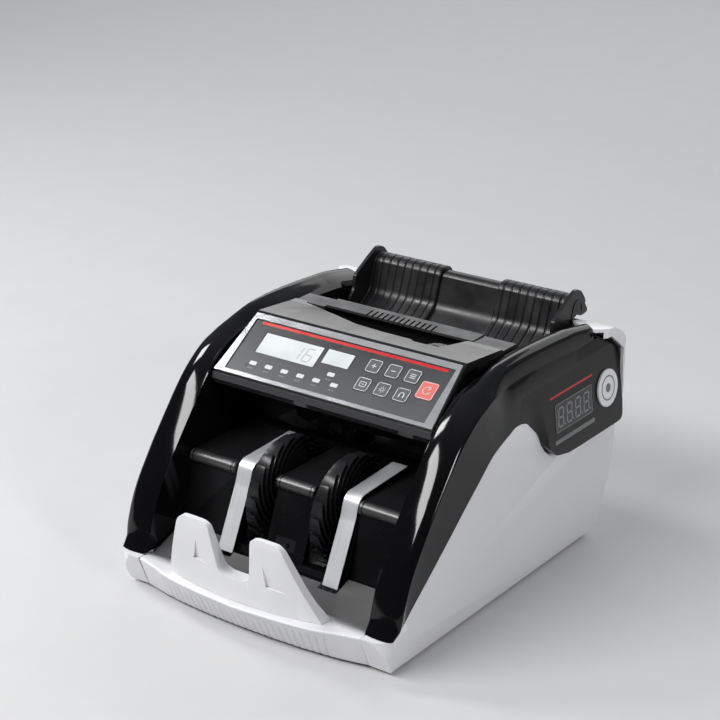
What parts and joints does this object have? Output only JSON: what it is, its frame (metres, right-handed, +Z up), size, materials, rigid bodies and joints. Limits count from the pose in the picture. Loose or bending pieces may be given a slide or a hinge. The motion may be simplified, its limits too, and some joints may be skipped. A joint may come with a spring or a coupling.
{
  "type": "banknote counting machine",
  "caption": "Desktop banknote counter: rear hopper feeds notes past sensing rollers under a sloping control panel to vaned wheels that stack them in a front pocket behind a stopper.",
  "frame": {"origin": "centre of the bounding box's footprint, on the table under the rubber feet", "axes": "+Z up, -Y towards the operator (front lip and stopper), +X to the operator's right (the side with the extra display)"},
  "size_m": [0.2632, 0.34, 0.1999],
  "materials": {
    "white_case": "satin white moulded plastic",
    "gloss_black": "high-gloss black moulded plastic",
    "black_plastic": "fine-textured black plastic",
    "stopper_white": "satin white plastic",
    "floor_grey": "dark grey plastic",
    "knob_grey": "dark grey knurled plastic",
    "silver_trim": "bright metallised trim",
    "membrane": "dark grey printed overlay film",
    "window_dark": "dark tinted window",
    "lcd_grey": "pale grey display glass",
    "key_grey": "grey domed key film",
    "key_red": "red domed key film",
    "badge_white": "glossy white plastic",
    "steel": "brushed steel",
    "rubber": "matt rubber",
    "board_green": "green circuit board",
    "socket_black": "black moulded plastic"
  },
  "bodies": {
    "machine": {"lower_case": "white_case", "front_lip": "white_case", "rear_cover": "white_case", "right_arch_cover": "gloss_black", "left_arch_cover": "gloss_black", "control_hood": "gloss_black", "hopper_tray": "black_plastic", "throat_plate": "black_plastic", "right_throat_end": "black_plastic", "left_throat_end": "black_plastic", "stacker_back_plate": "black_plastic", "front_stopper": "stopper_white", "stacker_floor": "floor_grey", "panel_bezel": "silver_trim", "membrane_panel": "membrane", "side_display_window": "window_dark", "sensor_window": "window_dark", "lcd_main": "lcd_grey", "lcd_small": "lcd_grey", "side_badge": "badge_white", "right_guide_strip": "steel", "left_guide_strip": "steel", "right_side_frame": "steel", "left_side_frame": "steel", "stacker_motor": "steel", "main_motor": "steel", "transformer": "steel", "foot_1": "rubber", "foot_2": "rubber", "foot_3": "rubber", "foot_4": "rubber", "stacker_belt": "rubber", "feed_belt": "rubber", "pickup_belt": "rubber", "control_board": "board_green", "mainboard": "board_green", "power_inlet": "socket_black"},
    "impeller": {"impeller_shaft": "steel", "right_impeller_wheel": "black_plastic", "left_impeller_wheel": "black_plastic", "impeller_pulley": "black_plastic"},
    "stacker_motor_rotor": {"stacker_motor_pulley": "black_plastic"},
    "feed_roller": {"feed_shaft": "steel", "feed_drum": "rubber", "feed_pulley": "black_plastic"},
    "main_motor_rotor": {"main_motor_pulley": "black_plastic"},
    "pickup_rollers": {"pickup_shaft": "steel", "right_pickup_roller": "rubber", "left_pickup_roller": "rubber"},
    "right_guide": {"right_note_guide": "black_plastic"},
    "left_guide": {"left_note_guide": "black_plastic"},
    "knob": {"thickness_knob": "knob_grey"},
    "switch": {"power_switch": "socket_black"},
    "key_plus_cap": {"key_plus": "key_grey"},
    "key_minus_cap": {"key_minus": "key_grey"},
    "key_batch_cap": {"key_batch": "key_grey"},
    "key_add_cap": {"key_add": "key_grey"},
    "key_uv_cap": {"key_uv": "key_grey"},
    "key_mg_cap": {"key_mg": "key_grey"},
    "key_reset_cap": {"key_reset": "key_red"}
  },
  "joints": [
    {"name": "impeller_spin", "type": "hinge", "parent": "machine", "child": "impeller", "pos_m": [0, -0.065, 0.071], "axis": [1, 0, 0], "continuous": true},
    {"name": "stacker_motor_spin", "type": "hinge", "parent": "machine", "child": "stacker_motor_rotor", "pos_m": [0, -0.005, 0.033], "axis": [1, 0, 0], "continuous": true},
    {"name": "feed_spin", "type": "hinge", "parent": "machine", "child": "feed_roller", "pos_m": [0, 0.039, 0.103], "axis": [1, 0, 0], "continuous": true},
    {"name": "main_motor_spin", "type": "hinge", "parent": "machine", "child": "main_motor_rotor", "pos_m": [0, 0.107, 0.043], "axis": [1, 0, 0], "continuous": true},
    {"name": "pickup_spin", "type": "hinge", "parent": "machine", "child": "pickup_rollers", "pos_m": [0, 0.087, 0.1172], "axis": [1, 0, 0], "continuous": true},
    {"name": "right_guide_slide", "type": "slide", "parent": "machine", "child": "right_guide", "axis": [-1, 0, 0], "range_m": [0, 0.024]},
    {"name": "left_guide_slide", "type": "slide", "parent": "machine", "child": "left_guide", "axis": [1, 0, 0], "range_m": [0, 0.024]},
    {"name": "knob_turn", "type": "hinge", "parent": "machine", "child": "knob", "pos_m": [0.0495, 0.016, 0.175], "axis": [0, 0, 1], "range_deg": [-180, 180]},
    {"name": "switch_rock", "type": "hinge", "parent": "machine", "child": "switch", "pos_m": [-0.039, 0.16, 0.075], "axis": [1, 0, 0], "range_deg": [0, 20]},
    {"name": "key_plus_press", "type": "slide", "parent": "machine", "child": "key_plus_cap", "axis": [0, 0.565, -0.8251], "range_m": [0, 0.0005], "stiffness_N_per_m": 800},
    {"name": "key_minus_press", "type": "slide", "parent": "machine", "child": "key_minus_cap", "axis": [0, 0.565, -0.8251], "range_m": [0, 0.0005], "stiffness_N_per_m": 800},
    {"name": "key_batch_press", "type": "slide", "parent": "machine", "child": "key_batch_cap", "axis": [0, 0.565, -0.8251], "range_m": [0, 0.0005], "stiffness_N_per_m": 800},
    {"name": "key_add_press", "type": "slide", "parent": "machine", "child": "key_add_cap", "axis": [0, 0.565, -0.8251], "range_m": [0, 0.0005], "stiffness_N_per_m": 800},
    {"name": "key_uv_press", "type": "slide", "parent": "machine", "child": "key_uv_cap", "axis": [0, 0.565, -0.8251], "range_m": [0, 0.0005], "stiffness_N_per_m": 800},
    {"name": "key_mg_press", "type": "slide", "parent": "machine", "child": "key_mg_cap", "axis": [0, 0.565, -0.8251], "range_m": [0, 0.0005], "stiffness_N_per_m": 800},
    {"name": "key_reset_press", "type": "slide", "parent": "machine", "child": "key_reset_cap", "axis": [0, 0.565, -0.8251], "range_m": [0, 0.0005], "stiffness_N_per_m": 800}
  ],
  "couplings": [
    {"joint": "stacker_motor_spin", "follows": "impeller_spin", "ratio": 2.6667},
    {"joint": "main_motor_spin", "follows": "feed_spin", "ratio": 2.5},
    {"joint": "pickup_spin", "follows": "feed_spin", "ratio": 1}
  ]
}
